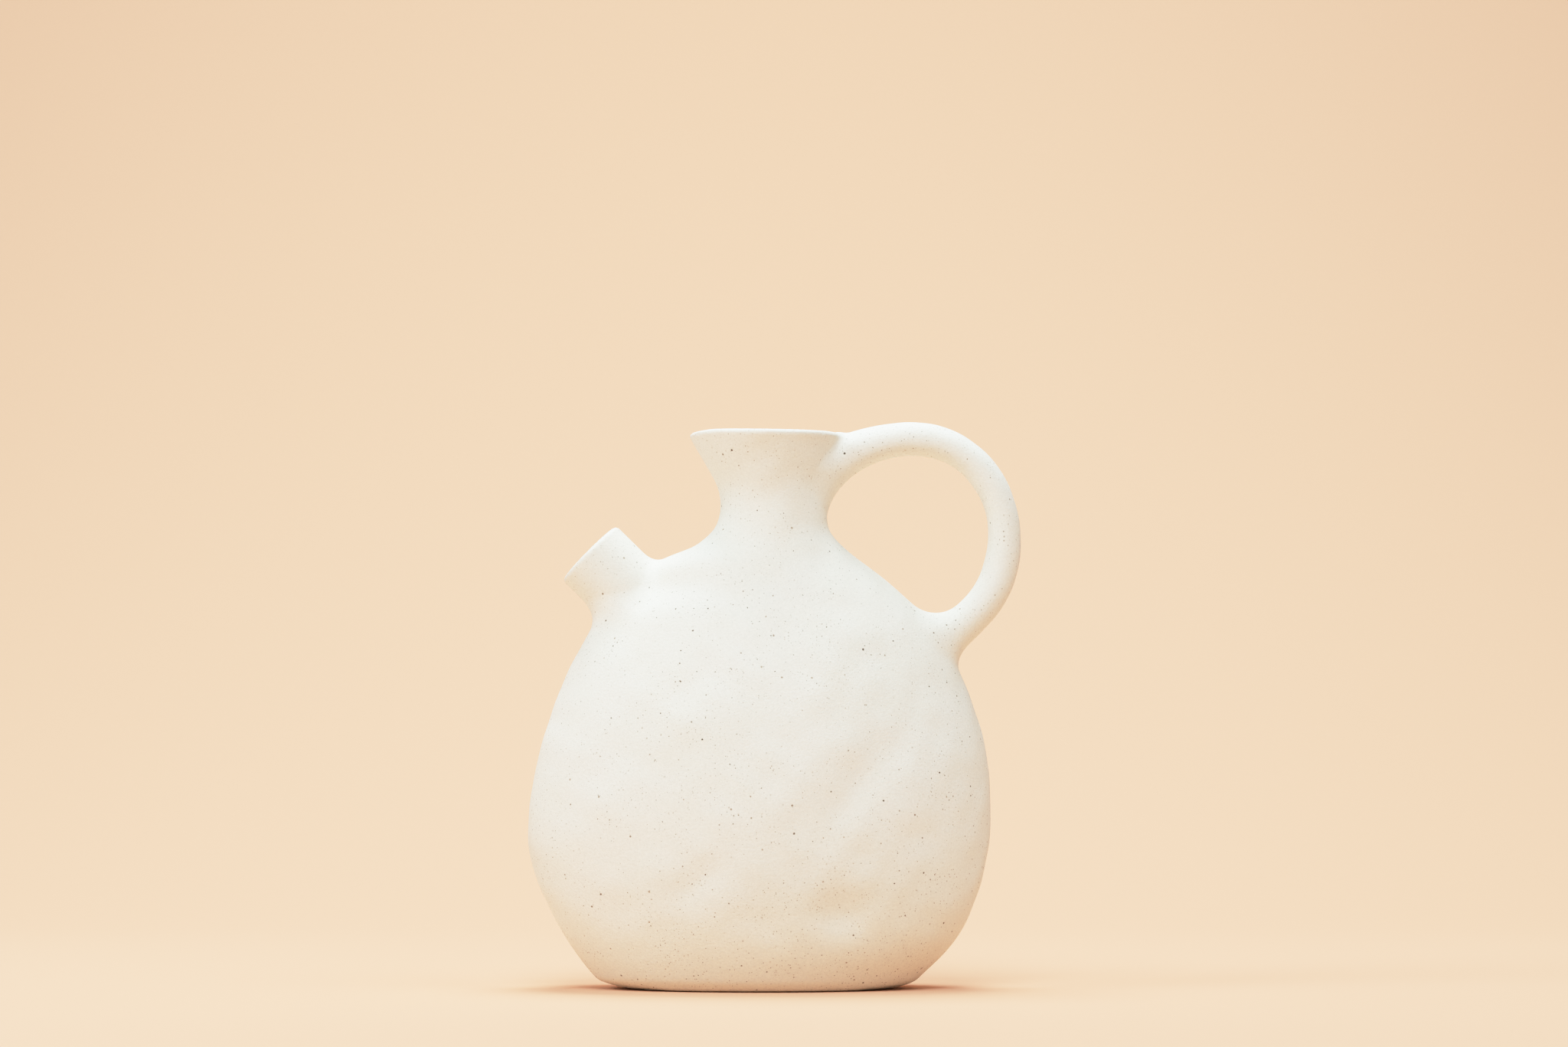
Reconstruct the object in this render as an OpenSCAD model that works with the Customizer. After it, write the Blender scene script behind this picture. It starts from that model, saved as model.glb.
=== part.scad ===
// Hand-built stoneware pitcher, in millimetres, +Z up.
// The origin is in the flat foot, on the surface that the pitcher stands on.
// +X points to the handle, -X to the spout, and the body is flattened along Y.
// The walls are rings of clay stacked on a foot slab. Each wall runs between two
// stations of one outline, so neighbours meet on a flat, horizontal seam.

/* [Body] */
// Widest span of the body, from the spout side to the handle side
body_width = 196; // [180:1:210]
// Thickness of the flattened body, from front to back
body_depth = 104; // [90:1:130]
// Thickness of the walls
wall = 4.5; // [3.5:0.1:5.5]

/* [Rim] */
// Radius of the rounded edge of the rim
lip_radius = 2.2; // [1.5:0.1:2.4]
// Slope of the rim's top, down towards the handle, in degrees
rim_tilt = 1.7; // [0:0.1:2.5]

/* [Spout] */
// Outer diameter of the spout tube
spout_diameter = 32.6; // [28:0.2:36]
// Bore of the spout tube
spout_bore = 25; // [20:0.5:26]
// Length of the spout tube, from its mouth to the shoulder along its axis
spout_reach = 20.5; // [16:0.5:26]
// Angle of the spout from the vertical, in degrees
spout_lean = 45.5; // [40:0.5:50]

/* [Handle] */
// Thickness of the handle, across the loop
handle_thickness = 14.4; // [12:0.2:16]
// Width of the handle, from front to back
handle_width = 16.4; // [13:0.2:20]

/* [Seams] */
// How far the coils that seal the spout and the handle spread from the roots
coil_spread = 7; // [5:0.5:9]

/* [Detail] */
// Facets around each wall
wall_facets = 56; // [40:4:64]
// Facets around the handle
handle_facets = 20; // [16:2:24]

/* [Hidden] */
$fn = 64;

clay = [0.92, 0.89, 0.83];
seam_clay = [0.86, 0.80, 0.71];

// Outline stations: height, spout-side edge, handle-side edge, half depth
nominal_width = 196;
nominal_depth = 104;
outline = [
    [0, -62, 59.5, 31],
    [1.8, -65.5, 63, 33.5],
    [6, -71.5, 68, 37],
    [20, -82, 81.5, 43.5],
    [40, -93.3, 91.5, 49],
    [60, -99, 96, 51.6],
    [80, -98.2, 96.6, 51.8],
    [105, -93.2, 93.8, 49],
    [130, -84.5, 85.2, 43.6],
    [150, -73.5, 75, 37.8],
    [168, -59.5, 58.5, 31],
    [180, -45.5, 43.4, 26.8],
    [187, -30, 34.8, 24.6],
    [194, -21.2, 29.2, 23.3],
    [203, -17.9, 28, 22.8],
    [212, -19, 28.3, 23.7],
    [221, -23.8, 30, 26.7],
    [229, -28.6, 32.4, 30],
    [233, -30.6, 33.6, 31.6]
];
// Stations where one piece of clay ends and the next begins
slab_top = 2;
lower_wall_top = 6;
shoulder_top = 11;
neck_root_top = 13;
collar_top = 17;
lip_start = 18;
ring_step = 0.5;

// The spout's axis meets the outside of the shoulder here, as [x, z]
spout_root = [-59, 170];
spout_depth = 30;

// Stations along the handle: outer edge x and z, inner edge x and z, width as a part
// of the full width. Both ends lie inside the clay that the handle is joined to.
nominal_thickness = 14.4;
handle_stations = [
    [22, 231, 22, 205, 1.2],
    [33, 234.6, 33, 213, 1.15],
    [44, 237.8, 45, 221.2, 1.05],
    [54.6, 239.7, 55.2, 224.9, 1],
    [65.5, 240.3, 65, 225.9, 1],
    [78.5, 238, 74.5, 224.4, 1],
    [91, 231.2, 82.8, 220.3, 1],
    [101.3, 220.5, 89.8, 213, 1],
    [108, 206, 94.8, 203.5, 1],
    [110.4, 190.6, 96.4, 193, 1],
    [108.7, 175.5, 95, 182, 1],
    [102.7, 161.7, 91, 171.5, 1.02],
    [94, 151.2, 84, 163, 1.06],
    [84, 141.5, 73.5, 154.5, 1.14],
    [75, 132, 63, 146, 1.2]
];
path_step = 0.25;
// Axes of the coils around the handle's roots: x, z, lean from the vertical, length
top_root = [20, 210, 55, 24];
bottom_root = [66, 139, 50, 29];

// Smooth curve through the rows of a table, at row number t
function curve(rows, t) =
    let (
        last = len(rows) - 1,
        i = min(floor(t), last - 1),
        u = t - i,
        p1 = rows[i],
        p2 = rows[i + 1],
        p0 = i > 0 ? rows[i - 1] : 2 * p1 - p2,
        p3 = i + 2 <= last ? rows[i + 2] : 2 * p2 - p1
    )
    0.5 * (2 * p1 + (p2 - p0) * u + (2 * p0 - 5 * p1 + 4 * p2 - p3) * u * u
        + (3 * p1 - p0 - 3 * p2 + p3) * u * u * u);

// Station t as height, middle x, half width and half depth, at the chosen size
function station(t) =
    let (
        row = curve(outline, t),
        k = body_width / nominal_width,
        waist = smooth_step((row[0] - 150) / 44),
        width_scale = k + (1 - k) * waist,
        depth_scale = body_depth / nominal_depth * (1 - waist) + waist
    )
    [
        row[0],
        (row[1] + row[2]) / 2 * width_scale,
        (row[2] - row[1]) / 2 * width_scale,
        row[3] * depth_scale
    ];

// 0 below 0, 1 above 1 and a soft change between
function smooth_step(x) = let (u = min(max(x, 0), 1)) u * u * (3 - 2 * u);

// How much wider the wall is along a level than square to its surface
function slant(t, column) =
    let (
        step = 0.01,
        a = station(max(t - step, 0)),
        b = station(min(t + step, lip_start))
    )
    sqrt(1 + pow((b[column] - a[column]) / (b[0] - a[0]), 2));

// Ring of points at station t, set in from the outside by some thickness of clay
function ring(t, inset) =
    let (s = station(t))
    oval(s[1], s[2] - inset * slant(t, 2), s[3] - inset * slant(t, 3), s[0]);

function oval(middle, half_width, half_depth, height) = [
    for (i = [0 : wall_facets - 1])
        let (a = 360 * i / wall_facets)
        [middle + half_width * cos(a), half_depth * sin(a), height]
];

// Rings of the rounded lip, from the outside over the top to the inside
function lip_rings() =
    let (s = station(lip_start), base = station(collar_top)[0])
    [
        for (a = [0 : 36 : 180])
            let (
                inset = lip_radius * (1 - cos(a)),
                height = s[0] + lip_radius * sin(a),
                grown = lip_radius * 0.2,
                rise = (height - base) / (s[0] - base)
            )
            [
                for (p = oval(s[1], s[2] + grown - inset, s[3] + grown - inset, height))
                    [p[0], p[1], p[2] - tan(rim_tilt) * (p[0] - s[1]) * min(rise, 1)]
            ]
    ];

function outside(from, to) = [for (t = [from : ring_step : to]) ring(t, 0)];
function inside(from, to) = [for (t = [to : -ring_step : from]) ring(t, wall)];

// Triangles between ring a and ring b, both with n points
function band(a, b, n) = [
    for (i = [0 : n - 1], half = [0, 1])
        let (j = (i + 1) % n)
        half == 0
            ? [a * n + i, b * n + i, b * n + j]
            : [a * n + i, b * n + j, a * n + j]
];

// Closed solid whose rings run up the outside and back down the inside
module hollow_ring(rings) {
    n = len(rings[0]);
    m = len(rings);
    polyhedron(
        points = [for (r = rings, p = r) p],
        faces = [for (k = [0 : m - 1]) each band(k, (k + 1) % m, n)]
    );
}

// Closed solid whose first and last rings are capped
module capped_stack(rings) {
    n = len(rings[0]);
    m = len(rings);
    faces = [
        [for (i = [0 : n - 1]) i],
        each [for (k = [0 : m - 2]) each band(k, k + 1, n)],
        [for (i = [n - 1 : -1 : 0]) (m - 1) * n + i]
    ];
    polyhedron(points = [for (r = rings, p = r) p], faces = faces);
}

// Everything within the outside of the walls, between two stations
module outer_form(from, to) {
    capped_stack(outside(from, to));
}

// Everything within the outside of the neck and the rim
module mouth_form() {
    capped_stack([
        each outside(shoulder_top, collar_top),
        each [for (k = [0 : 2]) lip_rings()[k]]
    ]);
}

// Puts +Z on the spout's axis, with 0 on the shoulder
module on_spout_axis() {
    translate([spout_root[0], 0, spout_root[1]]) rotate([0, -spout_lean, 0]) children();
}

// Oval section of the handle at station number t, square to the plane of the loop
function handle_section(t) =
    let (
        row = curve(handle_stations, t),
        outer = [row[0], row[1]],
        inner = [row[2], row[3]],
        middle = (outer + inner) / 2,
        half_thick = (outer - inner) / 2 * handle_thickness / nominal_thickness,
        half_wide = handle_width / 2 * row[4]
    )
    [
        for (i = [0 : handle_facets - 1])
            let (a = -360 * i / handle_facets)
            [
                middle[0] + half_thick[0] * cos(a),
                half_wide * sin(a),
                middle[1] + half_thick[1] * cos(a)
            ]
    ];

module handle_form() {
    capped_stack([for (t = [0 : path_step : len(handle_stations) - 1]) handle_section(t)]);
}

module foot_slab() {
    color(clay) outer_form(0, slab_top);
}

module lower_wall() {
    color(clay) hollow_ring([
        each outside(slab_top, lower_wall_top),
        each inside(slab_top, lower_wall_top)
    ]);
}

module shoulder_wall() {
    color(clay) difference() {
        hollow_ring([
            each outside(lower_wall_top, shoulder_top),
            each inside(lower_wall_top, shoulder_top)
        ]);
        on_spout_axis() translate([0, 0, -spout_depth]) cylinder(d = spout_bore, h = 2 * spout_depth);
    }
}

module neck_seam_coil() {
    color(seam_clay) hollow_ring([
        each outside(shoulder_top, neck_root_top),
        each inside(shoulder_top, neck_root_top)
    ]);
}

module neck_collar() {
    color(clay) hollow_ring([
        each outside(neck_root_top, collar_top),
        each inside(neck_root_top, collar_top)
    ]);
}

module rim_coil() {
    color(clay) hollow_ring([
        ring(collar_top, 0),
        each lip_rings(),
        ring(collar_top, wall)
    ]);
}

// Tube with a rounded mouth, cut to the shoulder it stands on
module spout_tube() {
    tube_wall = (spout_diameter - spout_bore) / 2;
    color(clay) difference() {
        on_spout_axis() rotate_extrude() {
            translate([spout_bore / 2, -spout_depth])
                square([tube_wall, spout_depth + spout_reach - tube_wall / 2]);
            translate([(spout_bore + tube_wall) / 2, spout_reach - tube_wall / 2])
                circle(d = tube_wall);
        }
        outer_form(lower_wall_top, shoulder_top);
    }
}

// Collar of clay that fills the corner between the spout and the shoulder. It
// reaches deep, because the oval body falls away in front of and behind the spout.
module spout_seam_coil() {
    inner = spout_diameter / 2;
    color(seam_clay) difference() {
        on_spout_axis() rotate_extrude() polygon([
            [inner, -spout_depth],
            [inner, coil_spread],
            [inner + 0.3 * coil_spread, 0.1 * coil_spread],
            [inner + 0.9 * coil_spread, -0.7 * coil_spread],
            [inner + 1.6 * coil_spread, -3 * coil_spread],
            [inner + 1.6 * coil_spread, -spout_depth]
        ]);
        outer_form(lower_wall_top, shoulder_top);
    }
}

// Cone of clay along an axis given as x, z, lean from the vertical and length
module root_cone(axis, base_radius, end_radius) {
    translate([axis[0], 0, axis[1]]) rotate([0, axis[2], 0])
        cylinder(r1 = base_radius, r2 = end_radius, h = axis[3]);
}

module handle_loop() {
    color(clay) difference() {
        handle_form();
        outer_form(lower_wall_top, shoulder_top);
        mouth_form();
    }
}

// Flared collar of clay around the handle's upper root, against the neck
module handle_top_seam_coil() {
    color(seam_clay) difference() {
        root_cone(top_root, coil_spread * 1.85, coil_spread * 0.88);
        handle_form();
        mouth_form();
    }
}

// Flared collar of clay around the handle's lower root, against the shoulder
module handle_bottom_seam_coil() {
    color(seam_clay) difference() {
        root_cone(bottom_root, coil_spread * 2.4, coil_spread * 1.38);
        handle_form();
        outer_form(lower_wall_top, shoulder_top);
    }
}

foot_slab();
lower_wall();
shoulder_wall();
neck_seam_coil();
neck_collar();
rim_coil();
spout_tube();
spout_seam_coil();
handle_loop();
handle_top_seam_coil();
handle_bottom_seam_coil();
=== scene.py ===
import math
from collections import Counter

import bpy
import numpy as np
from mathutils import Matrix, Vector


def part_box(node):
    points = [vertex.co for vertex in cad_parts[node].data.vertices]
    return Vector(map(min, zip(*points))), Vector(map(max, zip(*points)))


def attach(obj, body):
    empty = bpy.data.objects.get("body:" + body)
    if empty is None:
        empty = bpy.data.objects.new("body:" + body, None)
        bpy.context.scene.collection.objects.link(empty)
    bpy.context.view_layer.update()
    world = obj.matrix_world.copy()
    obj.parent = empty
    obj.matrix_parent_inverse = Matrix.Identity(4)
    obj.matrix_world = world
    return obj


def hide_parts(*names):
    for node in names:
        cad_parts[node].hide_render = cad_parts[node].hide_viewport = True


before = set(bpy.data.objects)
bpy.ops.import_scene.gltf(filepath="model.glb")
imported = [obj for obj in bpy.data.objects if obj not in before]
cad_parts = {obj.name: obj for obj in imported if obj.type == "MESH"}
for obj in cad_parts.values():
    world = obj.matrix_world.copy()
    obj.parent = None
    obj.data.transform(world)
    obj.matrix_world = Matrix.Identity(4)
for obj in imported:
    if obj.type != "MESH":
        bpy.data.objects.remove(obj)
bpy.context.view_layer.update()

import openvdb

# A hand-built stoneware pitcher. Its clay is worked out as one distance field: the oval walls
# of the frame, the spout and the swept handle, joined by round fillets, marked by thumbs and
# hollowed out. The field is turned into one closed skin, which is cut into the potter's pieces
# along the frame's own seams. Lengths are in millimetres until a mesh is made, in metres.
MM = 0.001
VOXEL = 1.2

# Walls: their thickness, the corner inside above the slab, and how high the foot is wiped bare
WALL = 4.5
FLOOR_CORNER = 6.0
WIPED = 0.5

# Rim: its round edge, how far it tilts, how much lower its front and back are, and its droop at
# the spout's end, between two distances from its middle
RIM_EDGE = 2.15
RIM_TILT = math.tan(math.radians(0.67))
RIM_DIP = 1.0
RIM_DROOP = 0.8
RIM_DROOP_FROM = 20
RIM_DROOP_FULL = 33

# Foot: its round edge at the front and back and at the sides, and where one becomes the other
FOOT_EDGE_FRONT = 1.2
FOOT_EDGE_SIDE = 4.5
FOOT_FRONT_ENDS = 34
FOOT_SIDE_STARTS = 58

# Unevenness of the worked walls: height, wavelength, waves and seed, and where it fades at the foot
UNEVEN = ((0.28, 46, 9, 3), (0.1, 17, 9, 8))
UNEVEN_FROM = 4
UNEVEN_FULL = 40

# Spout, on an axis that leaves the shoulder at a point given as x, z
SPOUT_ROOT = (-59.0, 170.0)
SPOUT_LEAN = math.radians(45.5)
SPOUT_RADIUS = 16.3
SPOUT_BORE = 12.5
SPOUT_REACH = 20.5
SPOUT_EDGE = 1.8
SPOUT_FILLET_ABOVE = 4.5
SPOUT_FILLET_BELOW = 7.5
SPOUT_FILLET_INSIDE = 4.0
SPOUT_DEPTH = 24.0

# Handle: outer edge x and z, inner edge x and z, and width as a part of the full width
HANDLE_WIDTH = 16.4
HANDLE_STATIONS = (
    (22, 231, 22, 205, 1.2),
    (33, 234.6, 33, 213, 1.15),
    (44, 237.8, 45, 221.2, 1.05),
    (54.6, 239.7, 55.2, 224.9, 1),
    (65.5, 240.3, 65, 225.9, 1),
    (78.5, 238, 74.5, 224.4, 1),
    (91, 231.2, 82.8, 220.3, 1),
    (101.3, 220.5, 89.8, 213, 1),
    (108, 206, 94.8, 203.5, 1),
    (110.4, 190.6, 96.4, 193, 1),
    (108.7, 175.5, 95, 182, 1),
    (102.7, 161.7, 91, 171.5, 1.02),
    (94, 151.2, 84, 163, 1.04),
    (84, 141.5, 73.5, 154.5, 1.1),
    (75, 132, 63, 146, 1.15),
)

# Coils of clay worked into the corners: how far each goes into the wall and the other piece,
# how much of the fillet is worth cutting out, and how far up the spout and off the wall it reaches
BED = 1.0
SPOUT_BED = 1.2
HANDLE_BED = 1.5
FILLET_PART = 0.8
SPOUT_COIL_TOP = 7
HANDLE_COIL_TOP = 9
SPOUT_RIGHT_END = -20
HANDLE_HALFWAY = 190

# Hand marks pressed into the walls: x, z, half length, half width, slope in degrees, depth.
# A negative depth is a swelling.
FRONT_MARKS = (
    (38, 85, 27, 10, 50, 1.8),
    (60, 78, 16, 11, 45, -0.4),
    (54, 108, 10, 10, 0, 0.5),
    (32, 34, 12, 10, 10, 2.9),
    (-26, 47, 15, 7, 35, 1.4),
    (-27, 129, 12, 7, 30, 0.6),
    (13, 142, 7, 13, 0, 0.6),
    (50, 141, 10, 8, 20, 0.7),
    (69, 66, 10, 8, 30, 0.7),
    (-50, 63, 13, 9, 40, 0.7),
    (-67, 62, 9, 12, 0, 0.5),
    (-52, 95, 18, 16, 0, 0.8),
    (0, 30, 10, 6, -30, 0.5),
    (-27, 113, 14, 11, 0, -0.6),
    (24, 128, 9, 14, -20, -0.5),
)
BACK_MARKS = (
    (-30, 84, 24, 9, 40, 1.3),
    (24, 58, 12, 10, -20, 1.1),
    (46, 116, 16, 9, 30, 0.8),
    (-52, 128, 10, 8, 0, 0.6),
    (-8, 140, 14, 9, -35, 0.6),
    (4, 104, 18, 15, 0, -0.7),
    (-58, 56, 10, 12, 0, 0.5),
    (58, 40, 9, 8, 0, 0.6),
)


# ------------------------------------------------------------------ camera
CAMERA_PLACE = (0.0094, -1.576, 0.090)
CAMERA_TIP_UP = 3.885


def make_camera():
    """An 85 mm lens a little below the middle of the pitcher, tipped up."""
    lens = bpy.data.cameras.new("camera")
    lens.lens = 85
    lens.sensor_width = 36
    lens.clip_end = 20
    camera = bpy.data.objects.new("camera", lens)
    camera.location = CAMERA_PLACE
    camera.rotation_euler = (math.radians(90 + CAMERA_TIP_UP), 0, 0)
    bpy.context.scene.collection.objects.link(camera)
    bpy.context.scene.camera = camera


# ------------------------------------------------------------------ outline of the walls
LEAST_RING_POINTS = 40
PAST_THE_RIM = 8


def level_rings(node):
    """Rows of height, left edge, right edge and half depth, from the level rings of a CAD wall."""
    points = np.array([v.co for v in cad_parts[node].data.vertices]) / MM
    points = np.unique(np.round(points, 2), axis=0)
    rows = []
    for height in np.unique(points[:, 2]):
        ring = points[points[:, 2] == height]
        if len(ring) >= LEAST_RING_POINTS:
            rows.append((height, ring[:, 0].min(), ring[:, 0].max(), ring[:, 1].max()))
    return rows


def natural_curve(knots, values):
    """A smooth curve through the values, as a function of the knots' own measure."""
    steps = np.diff(knots)
    count = len(knots)
    bend = np.eye(count)
    target = np.zeros(count)
    slopes = np.diff(values) / steps
    for i in range(1, count - 1):
        bend[i, i - 1:i + 2] = steps[i - 1], 2 * (steps[i - 1] + steps[i]), steps[i]
        target[i] = 6 * (slopes[i] - slopes[i - 1])
    second = np.linalg.solve(bend, target)

    def at(z):
        z = np.clip(z, knots[0], knots[-1])
        i = np.clip(np.searchsorted(knots, z) - 1, 0, count - 2)
        h = steps[i]
        a = (knots[i + 1] - z) / h
        b = 1 - a
        line = a * values[i] + b * values[i + 1]
        return line + ((a ** 3 - a) * second[i] + (b ** 3 - b) * second[i + 1]) * h * h / 6

    return at


def outline():
    """Middle, half width and half depth of the walls, as smooth functions of height."""
    rows = {}
    for node in ("foot_slab", "lower_wall", "shoulder_wall", "neck_seam_coil", "neck_collar"):
        for row in level_rings(node):
            rows[round(float(row[0]), 2)] = row
    low, high = (np.array(corner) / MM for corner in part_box("rim_coil"))
    level = high[2] - RIM_EDGE - RIM_TILT * (high[0] - low[0]) / 2
    rows[level] = (level, low[0], high[0], high[1])
    table = np.array([rows[key] for key in sorted(rows)])
    last, before = table[-1], table[-3]
    table = np.vstack([table, last + (last - before) * PAST_THE_RIM / (last[0] - before[0])])
    heights = table[:, 0]
    return (
        natural_curve(heights, (table[:, 1] + table[:, 2]) / 2),
        natural_curve(heights, (table[:, 2] - table[:, 1]) / 2),
        natural_curve(heights, table[:, 3]),
    )


MIDDLE, HALF_WIDTH, HALF_DEPTH = outline()
SLAB_TOP, BELLY_SEAM, SHOULDER_SEAM, NECK_SEAM, RIM_SEAM = (
    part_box(node)[1].z / MM
    for node in ("foot_slab", "lower_wall", "shoulder_wall", "neck_seam_coil", "neck_collar")
)
RIM_LOW, RIM_HIGH = (np.array(corner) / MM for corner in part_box("rim_coil"))
RIM_MIDDLE = (RIM_LOW[0] + RIM_HIGH[0]) / 2
RIM_LEVEL = RIM_HIGH[2] - RIM_TILT * ((RIM_HIGH[0] - RIM_LOW[0]) / 2 - RIM_EDGE)


# ------------------------------------------------------------------ distances
def soft_step(value, low, high):
    """0 below low, 1 above high, and a soft change between."""
    part = np.clip((value - low) / (high - low), 0, 1)
    return part * part * (3 - 2 * part)


def round_union(a, b, radius):
    """Two solids joined with a round fillet in the corner."""
    near_a = np.maximum(radius - a, 0)
    near_b = np.maximum(radius - b, 0)
    return np.maximum(radius, np.minimum(a, b)) - np.sqrt(near_a * near_a + near_b * near_b)


def round_cut(a, b, radius):
    """What two solids share, with the edge between them rounded over."""
    near_a = np.maximum(radius + a, 0)
    near_b = np.maximum(radius + b, 0)
    return np.minimum(-radius, np.maximum(a, b)) + np.sqrt(near_a * near_a + near_b * near_b)


def oval_walls(x, y, z):
    """Distance from the smooth outside of the oval walls."""
    step = 0.25
    middle, width, depth = MIDDLE(z), HALF_WIDTH(z), HALF_DEPTH(z)
    middle_slope = (MIDDLE(z + step) - MIDDLE(z - step)) / (2 * step)
    width_slope = (HALF_WIDTH(z + step) - HALF_WIDTH(z - step)) / (2 * step)
    depth_slope = (HALF_DEPTH(z + step) - HALF_DEPTH(z - step)) / (2 * step)
    u = (x - middle) / width
    v = y / depth
    q = np.sqrt(u * u + v * v + 1e-6)
    rise = u * middle_slope / width + u * u * width_slope / width + v * v * depth_slope / depth
    slope = np.sqrt((u / width) ** 2 + (v / depth) ** 2 + rise * rise) / q
    return (q - 1) / np.maximum(slope, 1e-4)


def marks(x, z, table):
    """How deep the thumbs and palms pressed at x, z."""
    total = 0
    for mark_x, mark_z, half_long, half_wide, slope, depth in table:
        turn = math.radians(slope)
        along = ((x - mark_x) * math.cos(turn) + (z - mark_z) * math.sin(turn)) / half_long
        across = ((z - mark_z) * math.cos(turn) - (x - mark_x) * math.sin(turn)) / half_wide
        total = total + depth * np.exp(-(along * along + across * across))
    return total


def ripple(x, y, z, wavelength, waves, seed):
    """Gentle unevenness about one unit high, from waves that run in random directions."""
    chance = np.random.default_rng(seed)
    total = 0
    for _ in range(waves):
        way = chance.normal(size=3)
        way *= 2 * math.pi / wavelength / np.linalg.norm(way) * chance.uniform(0.7, 1.4)
        total = total + np.sin(x * way[0] + y * way[1] + z * way[2] + chance.uniform(0, 2 * math.pi))
    return total * math.sqrt(2 / waves)


def worked_walls(x, y, z):
    """The oval walls as hands left them."""
    front = soft_step(-y, -12, 12)
    pressed = front * marks(x, z, FRONT_MARKS) + (1 - front) * marks(x, z, BACK_MARKS)
    uneven = sum(height * ripple(x, y, z, *waves) for height, *waves in UNEVEN)
    return oval_walls(x, y, z) + pressed + uneven * soft_step(z, UNEVEN_FROM, UNEVEN_FULL)


def spout_place(x, y, z):
    """How far out along the spout's axis, how far from it, and the fillet around it there."""
    right = x - SPOUT_ROOT[0]
    up = z - SPOUT_ROOT[1]
    along = up * math.cos(SPOUT_LEAN) - right * math.sin(SPOUT_LEAN)
    across = right * math.cos(SPOUT_LEAN) + up * math.sin(SPOUT_LEAN)
    above = soft_step(across, -8, 8)
    fillet = SPOUT_FILLET_BELOW + (SPOUT_FILLET_ABOVE - SPOUT_FILLET_BELOW) * above
    return along, np.sqrt(across * across + y * y), fillet


def handle_fillet(z):
    """The handle's fillet: tight under its lower root, broad above it, and a crease at the rim."""
    above_root = 7.0 * soft_step(z, 134, 158)
    under_rim = 3.0 * soft_step(z, 180, 200)
    at_rim = 5.5 * soft_step(z, 218, 232)
    return 5.5 + above_root - under_rim - at_rim


def rim_level(x, y):
    """Height of the rim, which tilts, dips at the front and back, and droops over the spout."""
    right = x - RIM_MIDDLE
    dip = RIM_DIP * np.minimum((y / RIM_HIGH[1]) ** 2, 1)
    droop = RIM_DROOP * soft_step(-right, RIM_DROOP_FROM, RIM_DROOP_FULL)
    return RIM_LEVEL - RIM_TILT * right - dip - droop


def clay(x, y, z, handle):
    """Signed distance from the skin of the finished pitcher, negative inside the clay."""
    walls = worked_walls(x, y, z)
    along, off_axis, spout_fillet = spout_place(x, y, z)
    rim = z - rim_level(x, y)
    sideways = soft_step(np.abs(x), FOOT_FRONT_ENDS, FOOT_SIDE_STARTS)
    foot_edge = FOOT_EDGE_FRONT + (FOOT_EDGE_SIDE - FOOT_EDGE_FRONT) * sideways
    outside = round_cut(round_cut(walls, rim, RIM_EDGE), -z, foot_edge)
    tube = round_cut(off_axis - SPOUT_RADIUS, along - SPOUT_REACH, SPOUT_EDGE)
    tube = np.maximum(tube, -along - SPOUT_DEPTH - 2 * WALL)
    outside = round_union(outside, tube, spout_fillet)
    outside = round_union(outside, handle, handle_fillet(z))
    hollow = round_cut(walls + WALL, SLAB_TOP - z, FLOOR_CORNER)
    bore = np.maximum(off_axis - SPOUT_BORE, -along - SPOUT_DEPTH)
    hollow = round_union(hollow, bore, SPOUT_FILLET_INSIDE)
    return round_cut(outside, -hollow, RIM_EDGE)


# ------------------------------------------------------------------ handle sweep
def link(tree, a, a_socket, b, b_socket):
    tree.links.new(a.outputs[a_socket], b.inputs[b_socket])


def maths(tree, operation, first, second=None):
    """A Math node on sockets or numbers; gives its output socket."""
    node = tree.nodes.new("ShaderNodeMath")
    node.operation = operation
    for slot, value in enumerate((first, second)):
        if value is None:
            continue
        if isinstance(value, (int, float)):
            node.inputs[slot].default_value = value
        else:
            tree.links.new(value, node.inputs[slot])
    return node.outputs[0]


def vector_maths(tree, operation, first, second=None, scale=None):
    """A Vector Math node on sockets; gives its output socket."""
    node = tree.nodes.new("ShaderNodeVectorMath")
    node.operation = operation
    tree.links.new(first, node.inputs[0])
    if second is not None:
        tree.links.new(second, node.inputs[1])
    if scale is not None:
        tree.links.new(scale, node.inputs["Scale"])
    return node.outputs[0]


ROUND_END = 0.04
HANDLE_RINGS = 160
HANDLE_SIDES = 48
WELD = 0.05 * MM


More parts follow.
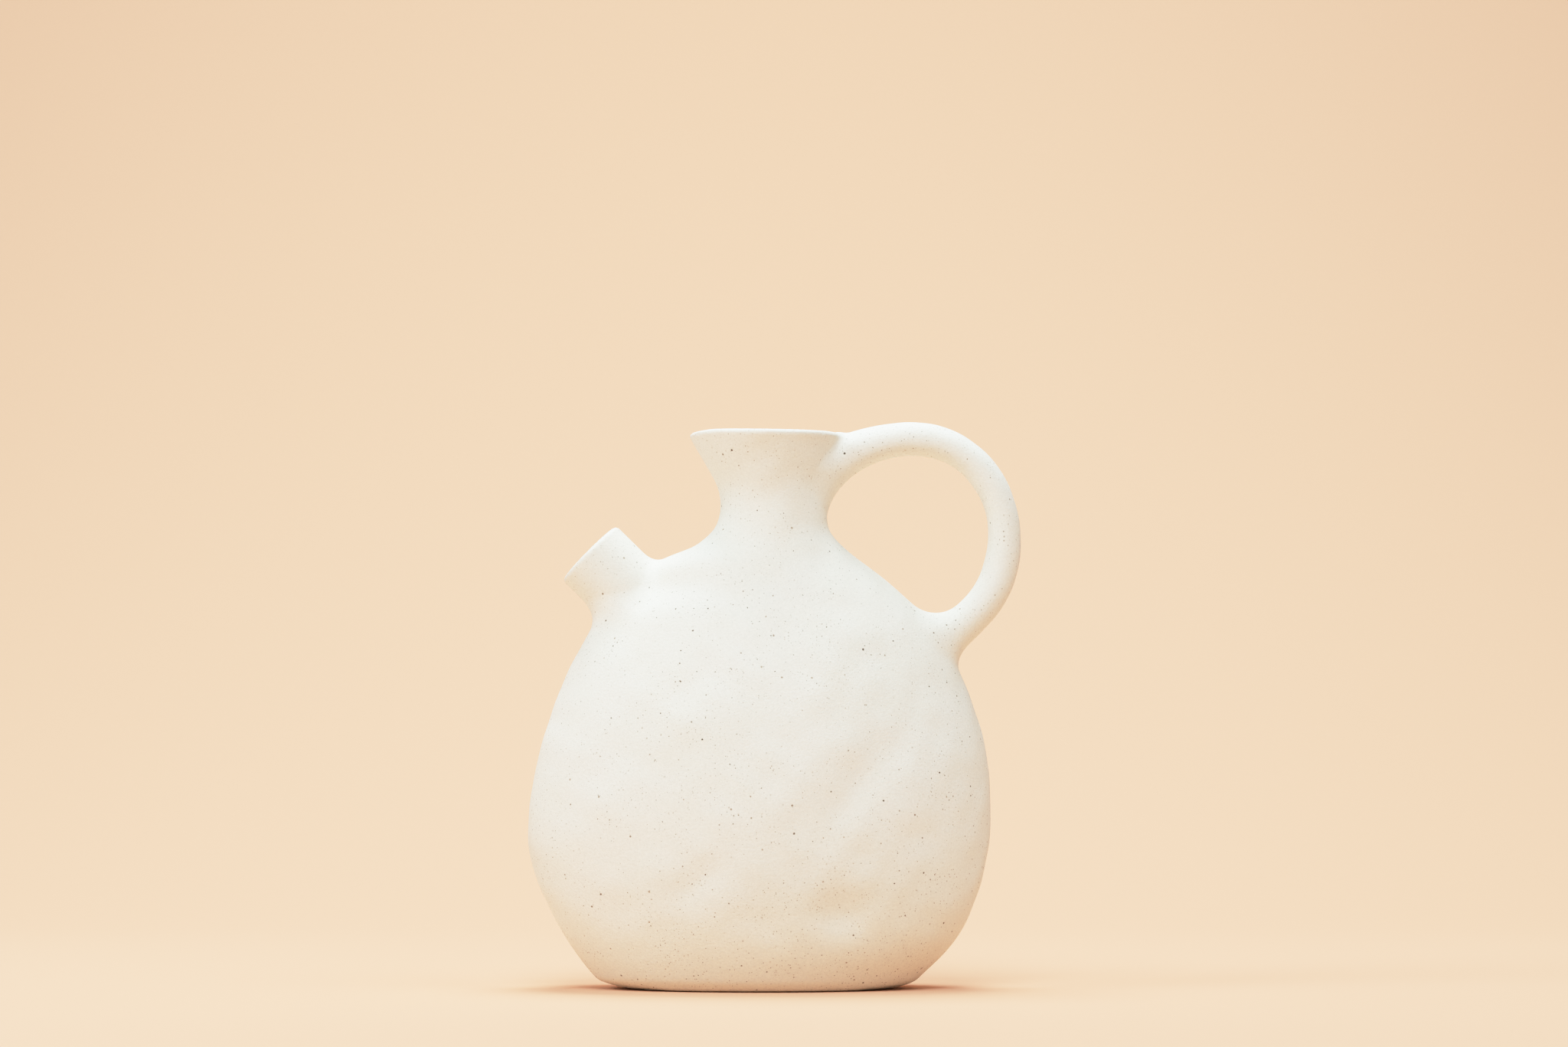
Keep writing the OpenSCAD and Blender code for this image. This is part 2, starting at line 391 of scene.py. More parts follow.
def handle_sweep_tree():
    """Geometry Nodes: an oval coil of clay swept between an outer and an inner line."""
    tree = bpy.data.node_groups.new("handle sweep", "GeometryNodeTree")
    face = tree.interface
    face.new_socket("Geometry", in_out="INPUT", socket_type="NodeSocketGeometry")
    face.new_socket("Outer line", in_out="INPUT", socket_type="NodeSocketObject")
    face.new_socket("Inner line", in_out="INPUT", socket_type="NodeSocketObject")
    for name, value in (("Width", HANDLE_WIDTH * MM), ("Round end", ROUND_END)):
        socket = face.new_socket(name, in_out="INPUT", socket_type="NodeSocketFloat")
        socket.default_value = value
    for name, value in (("Rings", HANDLE_RINGS), ("Sides", HANDLE_SIDES)):
        socket = face.new_socket(name, in_out="INPUT", socket_type="NodeSocketInt")
        socket.default_value = value
    face.new_socket("Clay", in_out="INPUT", socket_type="NodeSocketMaterial")
    face.new_socket("Geometry", in_out="OUTPUT", socket_type="NodeSocketGeometry")
    inputs = tree.nodes.new("NodeGroupInput")
    output = tree.nodes.new("NodeGroupOutput")

    sheet = tree.nodes.new("GeometryNodeMeshGrid")
    sheet.inputs["Size X"].default_value = 1
    sheet.inputs["Size Y"].default_value = 1
    link(tree, inputs, "Rings", sheet, "Vertices X")
    tree.links.new(maths(tree, "ADD", inputs.outputs["Sides"], 1), sheet.inputs["Vertices Y"])

    place = tree.nodes.new("ShaderNodeSeparateXYZ")
    link(tree, tree.nodes.new("GeometryNodeInputPosition"), "Position", place, 0)
    along = maths(tree, "ADD", place.outputs["X"], 0.5)
    turn = maths(tree, "MULTIPLY", place.outputs["Y"], 2 * math.pi)

    lines = []
    for name in ("Outer line", "Inner line"):
        info = tree.nodes.new("GeometryNodeObjectInfo")
        link(tree, inputs, name, info, "Object")
        sample = tree.nodes.new("GeometryNodeSampleCurve")
        sample.mode = "FACTOR"
        sample.use_all_curves = True
        link(tree, info, "Geometry", sample, "Curves")
        link(tree, tree.nodes.new("GeometryNodeInputRadius"), "Radius", sample, "Value")
        tree.links.new(along, sample.inputs["Factor"])
        lines.append(sample)
    outer, inner = (line.outputs["Position"] for line in lines)
    share = lines[0].outputs["Value"]

    end = maths(tree, "MINIMUM", along, maths(tree, "SUBTRACT", 1.0, along))
    end = maths(tree, "MINIMUM", maths(tree, "DIVIDE", end, inputs.outputs["Round end"]), 1.0)
    open_part = maths(tree, "POWER", maths(tree, "SUBTRACT", 1.0, end), 2.0)
    taper = maths(tree, "SQRT", maths(tree, "SUBTRACT", 1.0, open_part))

    half = tree.nodes.new("ShaderNodeValue")
    half.outputs[0].default_value = 0.5
    half = half.outputs[0]
    middle = vector_maths(tree, "SCALE", vector_maths(tree, "ADD", outer, inner), scale=half)
    across = vector_maths(tree, "SCALE", vector_maths(tree, "SUBTRACT", outer, inner), scale=half)
    thick = maths(tree, "MULTIPLY", maths(tree, "COSINE", turn), taper)
    wide = maths(tree, "MULTIPLY", maths(tree, "SINE", turn), taper)
    wide = maths(tree, "MULTIPLY", wide, maths(tree, "MULTIPLY", inputs.outputs["Width"], 0.5))
    wide = maths(tree, "MULTIPLY", wide, share)
    sideways = tree.nodes.new("ShaderNodeCombineXYZ")
    tree.links.new(wide, sideways.inputs["Y"])
    ring = vector_maths(tree, "ADD", middle, vector_maths(tree, "SCALE", across, scale=thick))
    ring = vector_maths(tree, "ADD", ring, sideways.outputs[0])

    moved = tree.nodes.new("GeometryNodeSetPosition")
    link(tree, sheet, "Mesh", moved, "Geometry")
    tree.links.new(ring, moved.inputs["Position"])
    welded = tree.nodes.new("GeometryNodeMergeByDistance")
    welded.inputs["Distance"].default_value = WELD
    link(tree, moved, "Geometry", welded, "Geometry")
    real = tree.nodes.new("GeometryNodeRealizeInstances")
    link(tree, welded, "Geometry", real, "Geometry")
    finish = tree.nodes.new("GeometryNodeSetMaterial")
    link(tree, real, "Geometry", finish, "Geometry")
    link(tree, inputs, "Clay", finish, "Material")
    link(tree, finish, "Geometry", output, "Geometry")
    return tree


LINE_STEPS = 16


def smooth_line(name, points, radii):
    """A soft curve through points given as x, z."""
    curve = bpy.data.curves.new(name, "CURVE")
    curve.dimensions = "3D"
    spline = curve.splines.new("BEZIER")
    spline.bezier_points.add(len(points) - 1)
    spline.resolution_u = LINE_STEPS
    for bezier, (x, z), radius in zip(spline.bezier_points, points, radii):
        bezier.co = (x * MM, 0, z * MM)
        bezier.radius = radius
        bezier.handle_left_type = bezier.handle_right_type = "AUTO"
    line = bpy.data.objects.new(name, curve)
    bpy.context.scene.collection.objects.link(line)
    return line


def swept_handle(material):
    """The plain handle as a closed mesh: its corners in millimetres, its triangles and its quads."""
    widths = [row[4] for row in HANDLE_STATIONS]
    outer = smooth_line("handle outer line", [row[0:2] for row in HANDLE_STATIONS], widths)
    inner = smooth_line("handle inner line", [row[2:4] for row in HANDLE_STATIONS], widths)
    carrier = bpy.data.objects.new("handle coil", bpy.data.meshes.new("handle coil"))
    bpy.context.scene.collection.objects.link(carrier)
    sweep = carrier.modifiers.new("sweep", "NODES")
    sweep.node_group = handle_sweep_tree()
    chosen = {"Outer line": outer, "Inner line": inner, "Clay": material}
    for item in sweep.node_group.interface.items_tree:
        if item.in_out == "INPUT" and item.name in chosen:
            sweep[item.identifier] = chosen[item.name]
    bpy.context.view_layer.update()
    view = carrier.evaluated_get(bpy.context.evaluated_depsgraph_get())
    mesh = bpy.data.meshes.new_from_object(view)
    corners = np.array([v.co for v in mesh.vertices]) / MM
    triangles = [tuple(p.vertices) for p in mesh.polygons if len(p.vertices) == 3]
    quads = [tuple(p.vertices) for p in mesh.polygons if len(p.vertices) == 4]
    for thing in (carrier, outer, inner):
        bpy.data.objects.remove(thing)
    bpy.data.meshes.remove(mesh)
    return corners, np.array(triangles, np.uint32).reshape(-1, 3), np.array(quads, np.uint32)


# ------------------------------------------------------------------ the block of space
NODE_BOXES = np.array([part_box(node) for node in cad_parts]) / MM
BOX_LOW = NODE_BOXES[:, 0].min(0)
BOX_HIGH = NODE_BOXES[:, 1].max(0)
MARGIN = 5
ORIGIN = np.floor(BOX_LOW - MARGIN)
SHAPE = np.ceil((BOX_HIGH + MARGIN - ORIGIN) / VOXEL).astype(int)
AXES = [ORIGIN[i] + VOXEL * np.arange(SHAPE[i]) for i in range(3)]
GRID_X = AXES[0][:, None, None]
GRID_Y = AXES[1][None, :, None]
GRID_Z = AXES[2][None, None, :]
HANDLE_BAND = 16.0


def filled_distance(corners, triangles, quads):
    """Distance from a closed mesh at every point of the block, up to the width of a band."""
    grid = openvdb.FloatGrid.createLevelSetFromPolygons(
        (corners - ORIGIN).astype(np.float32), triangles=triangles, quads=quads,
        transform=openvdb.createLinearTransform(voxelSize=VOXEL), halfWidth=HANDLE_BAND / VOXEL,
    )
    values = np.zeros(SHAPE, np.float32)
    grid.copyToArray(values, ijk=(0, 0, 0))
    return values


def skin(values):
    """The surface where the values are nought: corners in millimetres and faces that look out."""
    far = 3 * VOXEL
    grid = openvdb.FloatGrid()
    grid.background = far
    walled = np.pad(np.clip(values, -far, far), 1, constant_values=far)
    grid.copyFromArray(walled.astype(np.float32), ijk=(-1, -1, -1))
    grid.transform = openvdb.createLinearTransform(voxelSize=VOXEL)
    corners, quads = grid.convertToQuads(isovalue=0)
    corners = corners.astype(float) + ORIGIN
    a, b, c, d = (corners[quads[:, i].astype(int)] for i in range(4))
    volume = np.einsum("ij,ij->i", a, np.cross(b, c) + np.cross(c, d)).sum()
    return corners, (quads if volume > 0 else quads[:, ::-1]).astype(int)


def sample(values, points):
    """Values of the block at any points, blended from the eight around each."""
    place = (points - ORIGIN) / VOXEL
    place = np.clip(place, 0, SHAPE - 1.001)
    cell = place.astype(int)
    part = place - cell
    total = 0
    for corner in np.ndindex(2, 2, 2):
        weight = np.prod(np.where(corner, part, 1 - part), axis=1)
        at = cell + corner
        total = total + weight * values[at[:, 0], at[:, 1], at[:, 2]]
    return total


def clay_at(points, handle):
    return clay(points[:, 0], points[:, 1], points[:, 2], sample(handle, points))


def slope_at(points, handle):
    """The direction in which the distance grows, which is the skin's outward normal."""
    step = 0.5
    slope = np.empty_like(points)
    for axis in range(3):
        move = np.zeros(3)
        move[axis] = step
        slope[:, axis] = (clay_at(points + move, handle) - clay_at(points - move, handle)) / (2 * step)
    return slope


def settle(points, handle, rounds=3):
    """Moves points onto the exact skin of the clay."""
    for _ in range(rounds):
        slope = slope_at(points, handle)
        steep = np.maximum((slope * slope).sum(1), 0.05)
        shift = -slope * (clay_at(points, handle) / steep)[:, None]
        points = points + np.clip(shift, -VOXEL / 2, VOXEL / 2)
    return points


# ------------------------------------------------------------------ cutting into pieces
def mesh_object(name, corners, faces):
    mesh = bpy.data.meshes.new(name)
    mesh.from_pydata((corners * MM).tolist(), [], faces.tolist())
    mesh.update()
    made = bpy.data.objects.new(name, mesh)
    bpy.context.scene.collection.objects.link(made)
    return made


def block_below(height):
    """A cutter: everything below a level."""
    low = BOX_LOW - 2 * MARGIN
    high = BOX_HIGH + 2 * MARGIN
    high[2] = height
    corners = np.array([[(low, high)[i][0], (low, high)[j][1], (low, high)[k][2]]
                        for i in (0, 1) for j in (0, 1) for k in (0, 1)])
    faces = np.array([
        [0, 1, 3, 2], [4, 6, 7, 5], [0, 4, 5, 1], [2, 3, 7, 6], [0, 2, 6, 4], [1, 5, 7, 3],
    ])
    return mesh_object("cutter", corners, faces)


def carved(clay_object, cutter, operation):
    """A new mesh object: what the cutter takes, or what it leaves."""
    cut = clay_object.modifiers.new("cut", "BOOLEAN")
    cut.solver = "MANIFOLD"
    cut.operation = operation
    cut.object = cutter
    bpy.context.view_layer.update()
    view = clay_object.evaluated_get(bpy.context.evaluated_depsgraph_get())
    mesh = bpy.data.meshes.new_from_object(view)
    clay_object.modifiers.remove(cut)
    made = bpy.data.objects.new("clay", mesh)
    bpy.context.scene.collection.objects.link(made)
    return made


def take(clay_object, cutter):
    """Splits the clay at a cutter: the part inside it, and the rest."""
    inside = carved(clay_object, cutter, "INTERSECT")
    rest = carved(clay_object, cutter, "DIFFERENCE")
    bpy.data.objects.remove(clay_object)
    bpy.data.objects.remove(cutter)
    return inside, rest


def drop_flat_pockets(mesh):
    """Removes the pairs of faces back to back on the same corners that a cut can leave."""
    corners = [frozenset(face.vertices) for face in mesh.polygons]
    uses = Counter(corners)
    if len(uses) == len(corners):
        return
    points = [tuple(vertex.co) for vertex in mesh.vertices]
    faces = [tuple(face.vertices) for face, key in zip(mesh.polygons, corners) if uses[key] == 1]
    used = sorted({corner for face in faces for corner in face})
    place = {corner: i for i, corner in enumerate(used)}
    mesh.clear_geometry()
    mesh.from_pydata([points[i] for i in used], [], [[place[i] for i in face] for face in faces])
    mesh.update()


ON_SKIN = 0.15
FACING = 0.4


def smooth_skin(piece, handle):
    """Gives each corner on the pitcher's skin the skin's own normal, so that no seam shows."""
    mesh = piece.data
    count = len(mesh.vertices)
    points = np.empty(count * 3)
    mesh.vertices.foreach_get("co", points)
    points = points.reshape(-1, 3) / MM
    slope = slope_at(points, handle)
    slope /= np.maximum(np.linalg.norm(slope, axis=1), 1e-6)[:, None]
    faces = len(mesh.polygons)
    centres = np.empty(faces * 3)
    flat = np.empty(faces * 3)
    mesh.polygons.foreach_get("center", centres)
    mesh.polygons.foreach_get("normal", flat)
    centres = centres.reshape(-1, 3) / MM
    flat = flat.reshape(-1, 3)
    sizes = np.array([len(p.vertices) for p in mesh.polygons])
    owner = np.repeat(np.arange(faces), sizes)
    corner_point = np.empty(len(mesh.loops), int)
    mesh.loops.foreach_get("vertex_index", corner_point)
    on_skin = np.abs(clay_at(centres, handle)) < ON_SKIN
    facing = (slope[corner_point] * flat[owner]).sum(1) > FACING
    use = on_skin[owner] & facing
    normals = np.where(use[:, None], slope[corner_point], flat[owner])
    mesh.polygons.foreach_set("use_smooth", np.ones(faces, bool))
    mesh.normals_split_custom_set(normals.tolist())


def build_pitcher(glaze, bare):
    """The whole skin, cut into the potter's pieces; the first cuts take from the foot up."""
    corners, triangles, quads = swept_handle(glaze)
    handle = filled_distance(corners, triangles, quads)
    whole = clay(GRID_X, GRID_Y, GRID_Z, handle)
    points, faces = skin(whole)
    points = settle(points, handle)
    rest = mesh_object("clay", points, faces)

    walls = worked_walls(GRID_X, GRID_Y, GRID_Z)
    along, off_axis, spout_fillet = spout_place(GRID_X, GRID_Y, GRID_Z)
    clear = -(walls + BED)
    spout_zone = np.maximum(off_axis - SPOUT_RADIUS - FILLET_PART * spout_fillet, clear)
    beside_spout = np.maximum(along - SPOUT_COIL_TOP, SPOUT_RADIUS - SPOUT_BED - off_axis)
    spout_coil = np.maximum(spout_zone, beside_spout)
    handle_zone = np.maximum(handle - FILLET_PART * handle_fillet(GRID_Z), clear)
    beside_handle = np.maximum(walls - HANDLE_COIL_TOP, -HANDLE_BED - handle)
    handle_coil = np.maximum(handle_zone, beside_handle)
    lower = GRID_Z - HANDLE_HALFWAY

    pieces = {}

    def cut(name, cutter):
        nonlocal rest
        pieces[name], rest = take(rest, cutter)

    def cut_field(name, values):
        cut(name, mesh_object("cutter", *skin(np.broadcast_to(values, SHAPE))))

    cut("foot_face", block_below(WIPED))
    cut("foot_slab", block_below(SLAB_TOP))
    cut("lower_wall", block_below(BELLY_SEAM))
    cut_field("spout_seam_coil", spout_coil)
    cut_field("spout_tube", np.maximum(spout_zone, GRID_X - SPOUT_RIGHT_END))
    cut_field("handle_bottom_seam_coil", np.maximum(handle_coil, lower))
    cut_field("handle_top_seam_coil", np.maximum(handle_coil, -lower))
    cut_field("handle_loop", handle_zone)
    cut("shoulder_wall", block_below(SHOULDER_SEAM))
    cut("neck_seam_coil", block_below(NECK_SEAM))
    cut("neck_collar", block_below(RIM_SEAM))
    pieces["rim_coil"] = rest

    for name, piece in pieces.items():
        piece.name = piece.data.name = "clay_" + name
        drop_flat_pockets(piece.data)
        smooth_skin(piece, handle)
        wiped = name == "foot_face"
        piece.data.materials.clear()
        piece.data.materials.append(bare if wiped else glaze)
        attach(piece, "root")
        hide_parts("foot_slab" if wiped else name)


# ------------------------------------------------------------------ glaze and clay
def shader_group(name, inputs, outputs):
    """An empty shader group: its tree, and its input and output nodes."""
    tree = bpy.data.node_groups.new(name, "ShaderNodeTree")
    for label, kind in inputs:
        tree.interface.new_socket(label, in_out="INPUT", socket_type="NodeSocket" + kind)
    for label in outputs:
        tree.interface.new_socket(label, in_out="OUTPUT", socket_type="NodeSocketFloat")
    return tree, tree.nodes.new("NodeGroupInput").outputs, tree.nodes.new("NodeGroupOutput").inputs


def noise(tree, vector, size, detail=2.0, output="Fac"):
    """Soft noise whose blobs are about this many millimetres across."""
    node = tree.nodes.new("ShaderNodeTexNoise")
    node.inputs["Scale"].default_value = 1 / (size * MM)
    node.inputs["Detail"].default_value = detail
    tree.links.new(vector, node.inputs["Vector"])
    return node.outputs[output]


def blend(tree, value, low, high, to_low=0.0, to_high=1.0, soft=True):
    """Maps a value from one range to another; the ends may be numbers or sockets."""
    node = tree.nodes.new("ShaderNodeMapRange")
    node.interpolation_type = "SMOOTHSTEP" if soft else "LINEAR"
    tree.links.new(value, node.inputs["Value"])
    for label, end in (("From Min", low), ("From Max", high), ("To Min", to_low), ("To Max", to_high)):
        if isinstance(end, (int, float)):
            node.inputs[label].default_value = end
        else:
            tree.links.new(end, node.inputs[label])
    return node.outputs["Result"]


def mixed(tree, amount, first, second):
    """Mixes two colours, each a socket or a plain colour."""
    node = tree.nodes.new("ShaderNodeMix")
    node.data_type = "RGBA"
    tree.links.new(amount, node.inputs["Factor"])
    colour_a, colour_b, colour_result = 6, 7, 2
    for slot, colour in ((colour_a, first), (colour_b, second)):
        if isinstance(colour, tuple):
            node.inputs[slot].default_value = (*colour, 1)
        else:
            tree.links.new(colour, node.inputs[slot])
    return node.outputs[colour_result]


def iron_specks():
    """Iron that melted out of the clay, as blots that each have their own place, size and tone."""
    tree, given, out = shader_group(
        "iron specks",
        (("Vector", "Vector"), ("Spacing", "Float"), ("Radius", "Float"), ("Share", "Float")),
        ("Mask", "Tone"),
    )
    edge_noise = noise(tree, given["Vector"], 0.45, 1.0, "Color")
    wobble = tree.nodes.new("ShaderNodeVectorMath")
    wobble.operation = "MULTIPLY_ADD"
    wobble.inputs[1].default_value = (0.35 * MM,) * 3
    tree.links.new(edge_noise, wobble.inputs[0])
    tree.links.new(given["Vector"], wobble.inputs[2])
    cells = tree.nodes.new("ShaderNodeTexVoronoi")
    tree.links.new(wobble.outputs[0], cells.inputs["Vector"])
    tree.links.new(maths(tree, "DIVIDE", 1.0, given["Spacing"]), cells.inputs["Scale"])
    away = maths(tree, "MULTIPLY", cells.outputs["Distance"], given["Spacing"])
    chance = tree.nodes.new("ShaderNodeSeparateColor")
    tree.links.new(cells.outputs["Color"], chance.inputs[0])
    kept = maths(tree, "LESS_THAN", chance.outputs["Red"], given["Share"])
    larger = blend(tree, chance.outputs["Green"], 0.0, 1.0, 0.6, 1.3)
    radius = maths(tree, "MULTIPLY", given["Radius"], larger)
    core = maths(tree, "MULTIPLY", radius, 0.55)
    rim = maths(tree, "MULTIPLY", radius, 1.15)
    blot = blend(tree, away, core, rim, 1.0, 0.0)
    tree.links.new(maths(tree, "MULTIPLY", blot, kept), out["Mask"])
    tree.links.new(chance.outputs["Blue"], out["Tone"])
    return tree


def sandy_grain():
    """The dry, sandy skin of the fired clay."""
    tree, given, out = shader_group("sandy grain", (("Vector", "Vector"),), ("Grain", "Height"))
    sand = noise(tree, given["Vector"], 0.9, 2.0)
    grit = noise(tree, given["Vector"], 0.42, 1.0)
    tree.links.new(blend(tree, sand, 0.3, 0.7, soft=False), out["Grain"])
    tree.links.new(maths(tree, "ADD", sand, maths(tree, "MULTIPLY", grit, 0.6)), out["Height"])
    return tree


def hand_surface():
    """Small hollows left by fingers and a rib, and slow drifts of tone from the kiln."""
    tree, given, out = shader_group("hand surface", (("Vector", "Vector"),), ("Drift", "Height"))
    drift = noise(tree, given["Vector"], 55, 2.0)
    tree.links.new(blend(tree, drift, 0.3, 0.7), out["Drift"])
    tree.links.new(noise(tree, given["Vector"], 7.5, 2.0), out["Height"])
    return tree


def place_group(tree, group, vector, **values):
    node = tree.nodes.new("ShaderNodeGroup")
    node.node_tree = group
    tree.links.new(vector, node.inputs["Vector"])
    for label, value in values.items():
        if isinstance(value, (int, float)):
            node.inputs[label].default_value = value
        else:
            tree.links.new(value, node.inputs[label])
    return node.outputs


def bump(tree, height, distance, under=None):
    """Relief so many millimetres high, over another relief if one is given."""
    node = tree.nodes.new("ShaderNodeBump")
    node.inputs["Strength"].default_value = 1.0
    node.inputs["Distance"].default_value = distance * MM
    tree.links.new(height, node.inputs["Height"])
    if under is not None:
        tree.links.new(under, node.inputs["Normal"])
    return node.outputs["Normal"]


# Speck layers: spacing and radius in millimetres, share of the cells kept, weakest and strongest
SPECK_LAYERS = (
    (1.0, 0.24, 0.42, 0.10, 0.70),
    (1.9, 0.33, 0.25, 0.30, 1.00),
    (4.2, 0.44, 0.33, 0.70, 1.00),
)
BURNT_IRON = (0.045, 0.030, 0.018)
RUSTY_IRON = (0.26, 0.16, 0.085)

# Tones of the glaze and of the bare clay: usual, where the kiln was warmer, and near the foot, where the
# glaze's warmer tone is painted bounce light from the peach floor
GLAZE = (0.905, 0.912, 0.832)
WARM_GLAZE = (0.89, 0.894, 0.80)
# Painted warm bounce light from the floor, used low on the glaze
FLOOR_BOUNCE_GLAZE = (0.97, 0.93, 0.80)
BARE = (0.62, 0.50, 0.37)
WARM_BARE = (0.56, 0.44, 0.32)
FOOT_BARE = (0.60, 0.48, 0.35)

# How much the sand shows and how dark it is, how much more often specks come low down, how deep
# the marks of fingers are, how smooth the specks are, and how much the roughness varies
SAND_SHOWS = 0.28
SAND_DARKNESS = 0.72
LOW_SPECKS = 1.4
FINGER_RELIEF = 0.22
SPECK_GLOSS = 0.15
ROUGHNESS_DRIFT = 0.06


def stoneware(name, groups, tones, roughness, more_specks, relief):
    """Fired stoneware: a tone that drifts, a third tone near the foot (on the glaze, painted warm bounce
    light from the floor), sand, iron specks, finger marks.
    """
    specks, grain, hand = groups
    colour, warm_colour, bounce_and_foot_colour = tones
    material = bpy.data.materials.new(name)
    material.use_nodes = True
    tree = material.node_tree
    shader = tree.nodes["Principled BSDF"]
    where = tree.nodes.new("ShaderNodeTexCoord").outputs["Object"]
    height = tree.nodes.new("ShaderNodeSeparateXYZ")
    tree.links.new(where, height.inputs[0])
    sand = place_group(tree, grain, where)
    worked = place_group(tree, hand, where)

    colour_now = mixed(tree, worked["Drift"], colour, warm_colour)
    # Painted warm bounce light from the floor on the glaze, fading out between 6 and 48 mm up; on the bare
    # clay a slightly darker tone
    bounce_and_foot_share = blend(tree, height.outputs["Z"], 6 * MM, 48 * MM, 1.0, 0.0)
    colour_now = mixed(tree, bounce_and_foot_share, colour_now, bounce_and_foot_colour)
    dusted = maths(tree, "MULTIPLY", sand["Grain"], SAND_SHOWS)
    colour_now = mixed(tree, dusted, colour_now, tuple(SAND_DARKNESS * part for part in warm_colour))

    low_down = blend(tree, height.outputs["Z"], 18 * MM, 62 * MM, LOW_SPECKS, 1.0)
    gathered = blend(tree, noise(tree, where, 22, 1.0), 0.35, 0.65, 0.45, 1.55)
    often = maths(tree, "MULTIPLY", low_down, gathered)
    pits = None
    for spacing, radius, share, weakest, strongest in SPECK_LAYERS:
        layer = place_group(
            tree, specks, where, Spacing=spacing * MM, Radius=radius * MM,
            Share=maths(tree, "MULTIPLY", often, share * more_specks),
        )
        squared = maths(tree, "POWER", layer["Tone"], 2.0)
        strength = blend(tree, squared, 0.0, 1.0, weakest, strongest, soft=False)
        amount = maths(tree, "MULTIPLY", layer["Mask"], strength)
        iron = mixed(tree, layer["Tone"], RUSTY_IRON, BURNT_IRON)
        colour_now = mixed(tree, amount, colour_now, iron)
        pits = amount if pits is None else maths(tree, "MAXIMUM", pits, amount)
    tree.links.new(colour_now, shader.inputs["Base Color"])
    smoothest = roughness - ROUGHNESS_DRIFT
    roughest = roughness + ROUGHNESS_DRIFT
    dry = blend(tree, sand["Grain"], 0.0, 1.0, smoothest, roughest, soft=False)
    glossy = maths(tree, "MULTIPLY", pits, SPECK_GLOSS)
    tree.links.new(maths(tree, "SUBTRACT", dry, glossy), shader.inputs["Roughness"])
    shader.inputs["Specular IOR Level"].default_value = 0.35
    shape = bump(tree, worked["Height"], FINGER_RELIEF)
    shape = bump(tree, sand["Height"], relief, shape)
    tree.links.new(shape, shader.inputs["Normal"])
    return material


# ------------------------------------------------------------------ room and light
PAPER = (0.805, 0.466, 0.313)
FIBRE_DARKNESS = 0.975
DAYLIGHT = (0.90, 1.0, 1.03)
AIR_STRENGTH = 0.22

# The sheet of paper in metres: where the floor starts and where it begins to curve up, the radius
# of the curve, its top, half its width, and the steps in the curve
FLOOR_FRONT = -3.0
FLOOR_BACK = 0.6
CURVE_RADIUS = 2.0
WALL_TOP = 4.0
HALF_SHEET = 4
CURVE_STEPS = 24

# Soft lamps: place, aim and width in metres, and power in watts
LAMPS = (
    ("left key", (-1.6, -0.7, 1.1), (0, 0, 0.12), 1.0, 15.2),
    ("high front", (-0.2, -1.9, 2.4), (0, 0, 0.12), 1.6, 57.5),
    ("high right", (1.3, -0.7, 2.3), (0, 0, 0.12), 1.6, 13.0),
    ("backdrop", (0.0, 0.5, 2.2), (0, 1.2, 0.3), 1.2, 52.0),
)

# Tones above the shoulder ease towards white; the curve is set at these tones, up to the brightest
SHOULDER = 0.5
BRIGHTEST = 4.0
CURVE_TONES = (0.25, SHOULDER, 0.65, 0.8, 1.0, 1.25, 1.6, 2.1, 3.0)


def paper():
    """Plain matte paper with a faint fibre."""
    material = bpy.data.materials.new("peach_paper")
    material.use_nodes = True
    tree = material.node_tree
    shader = tree.nodes["Principled BSDF"]
    where = tree.nodes.new("ShaderNodeTexCoord").outputs["Object"]
    fibre = noise(tree, where, 3.0, 3.0)
    darker = tuple(FIBRE_DARKNESS * part for part in PAPER)
    tree.links.new(mixed(tree, fibre, PAPER, darker), shader.inputs["Base Color"])
    shader.inputs["Roughness"].default_value = 0.95
    shader.inputs["Specular IOR Level"].default_value = 0.1
    return material


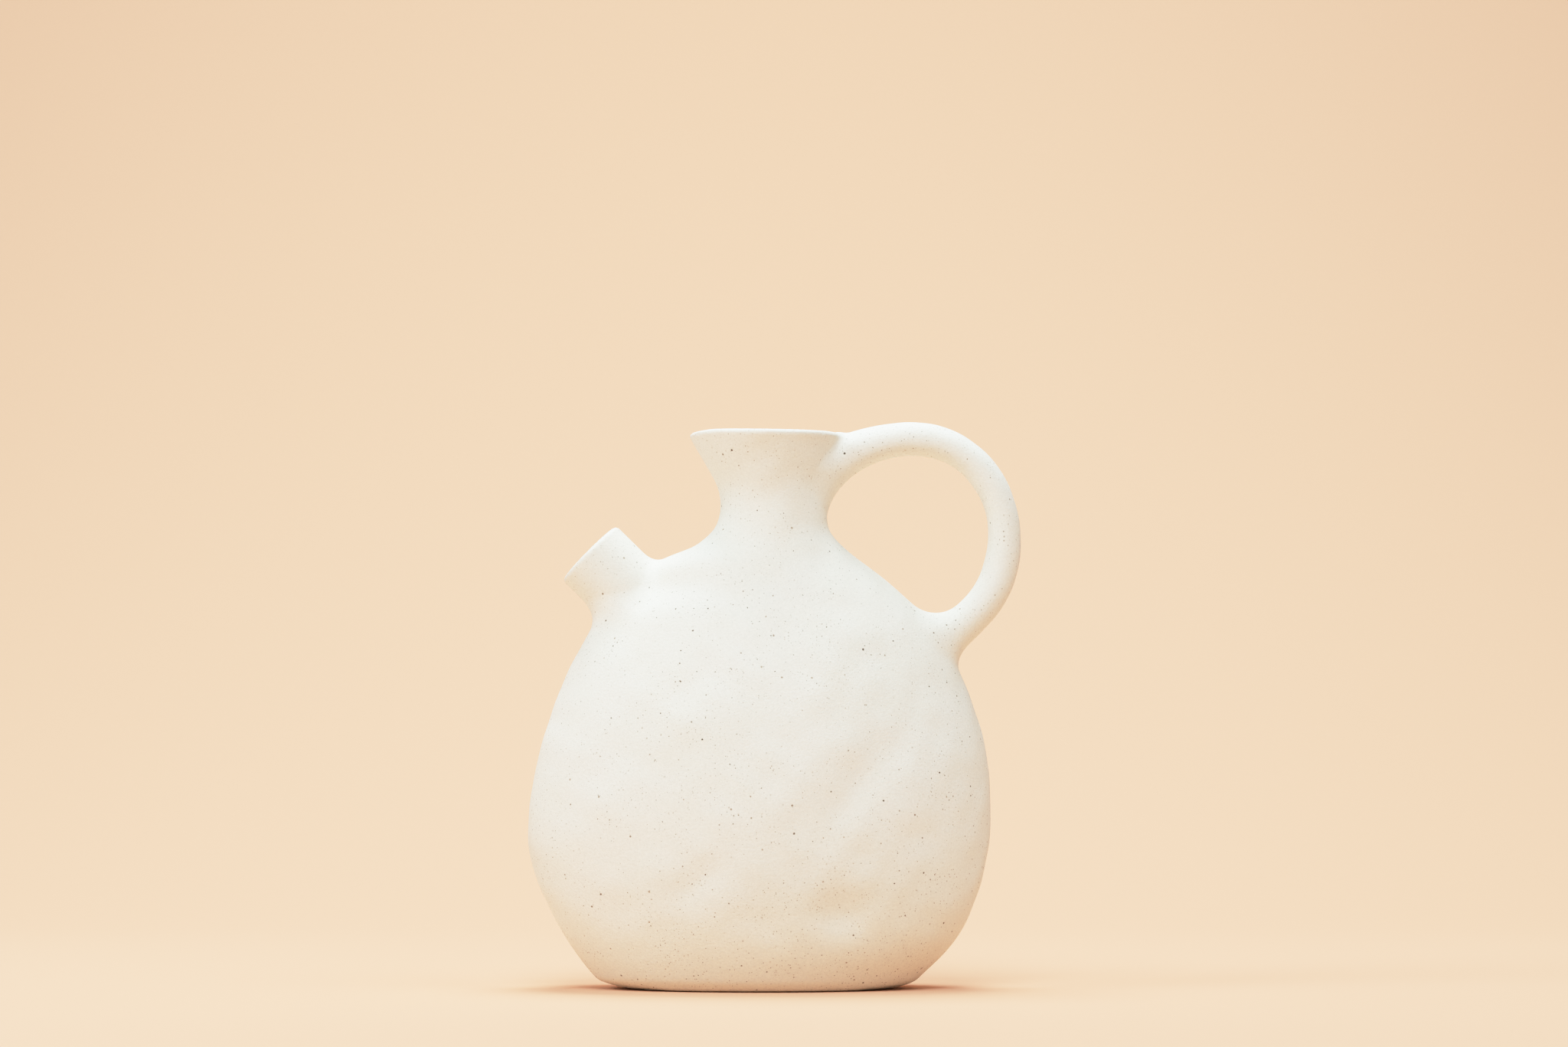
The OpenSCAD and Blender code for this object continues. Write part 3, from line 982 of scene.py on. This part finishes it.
def make_room():
    """One sheet of paper: a floor that curves up into the wall behind."""
    profile = [(FLOOR_FRONT, 0.0), (FLOOR_BACK, 0.0)]
    for i in range(1, CURVE_STEPS + 1):
        angle = math.radians(90 * i / CURVE_STEPS)
        rise = CURVE_RADIUS * (1 - math.cos(angle))
        profile.append((FLOOR_BACK + CURVE_RADIUS * math.sin(angle), rise))
    profile.append((FLOOR_BACK + CURVE_RADIUS, WALL_TOP))
    verts = []
    for y, z in profile:
        verts += [(-HALF_SHEET, y, z), (HALF_SHEET, y, z)]
    faces = [(2 * i, 2 * i + 1, 2 * i + 3, 2 * i + 2) for i in range(len(profile) - 1)]
    mesh = bpy.data.meshes.new("sweep")
    mesh.from_pydata(verts, [], faces)
    mesh.polygons.foreach_set("use_smooth", [True] * len(faces))
    mesh.update()
    floor = bpy.data.objects.new("sweep", mesh)
    bpy.context.scene.collection.objects.link(floor)
    floor.data.materials.append(paper())


def area_light(name, place, aim, size, power):
    """A round soft lamp turned towards a point."""
    light = bpy.data.lights.new(name, "AREA")
    light.shape = "DISK"
    light.size = size
    light.energy = power
    light.color = DAYLIGHT
    lamp = bpy.data.objects.new(name, light)
    lamp.location = place
    way = np.array(aim) - np.array(place)
    tip = math.acos(-way[2] / np.linalg.norm(way))
    turn = math.atan2(way[1], way[0]) - math.pi / 2
    lamp.rotation_euler = (tip, 0, turn)
    bpy.context.scene.collection.objects.link(lamp)


def make_light():
    world = bpy.data.worlds.new("studio air")
    world.use_nodes = True
    air = world.node_tree.nodes["Background"]
    air.inputs["Color"].default_value = (*DAYLIGHT, 1)
    air.inputs["Strength"].default_value = AIR_STRENGTH
    bpy.context.scene.world = world
    for lamp in LAMPS:
        area_light(*lamp)


def eased(light):
    """Even below the shoulder, then easing towards white."""
    if light <= SHOULDER:
        return light
    room = 1 - SHOULDER
    return SHOULDER + room * (1 - math.exp((SHOULDER - light) / room))


def soften_highlights():
    """Gives bright tones a soft shoulder, as film does."""
    view = bpy.context.scene.view_settings
    view.view_transform = "Standard"
    view.use_curve_mapping = True
    view.curve_mapping.white_level = (BRIGHTEST,) * 3
    all_colours = 3
    curve = view.curve_mapping.curves[all_colours]
    curve.points[1].location = (1, eased(BRIGHTEST))
    for light in CURVE_TONES:
        curve.points.new(light / BRIGHTEST, eased(light))
    view.curve_mapping.update()


make_camera()
make_room()
make_light()
soften_highlights()
groups = iron_specks(), sandy_grain(), hand_surface()
glaze = stoneware(
    "speckled_glaze", groups, (GLAZE, WARM_GLAZE, FLOOR_BOUNCE_GLAZE), roughness=0.76, more_specks=1.0, relief=0.15,
)
bare = stoneware(
    "bare_clay", groups, (BARE, WARM_BARE, FOOT_BARE), roughness=0.86, more_specks=1.4, relief=0.16,
)
build_pitcher(glaze, bare)
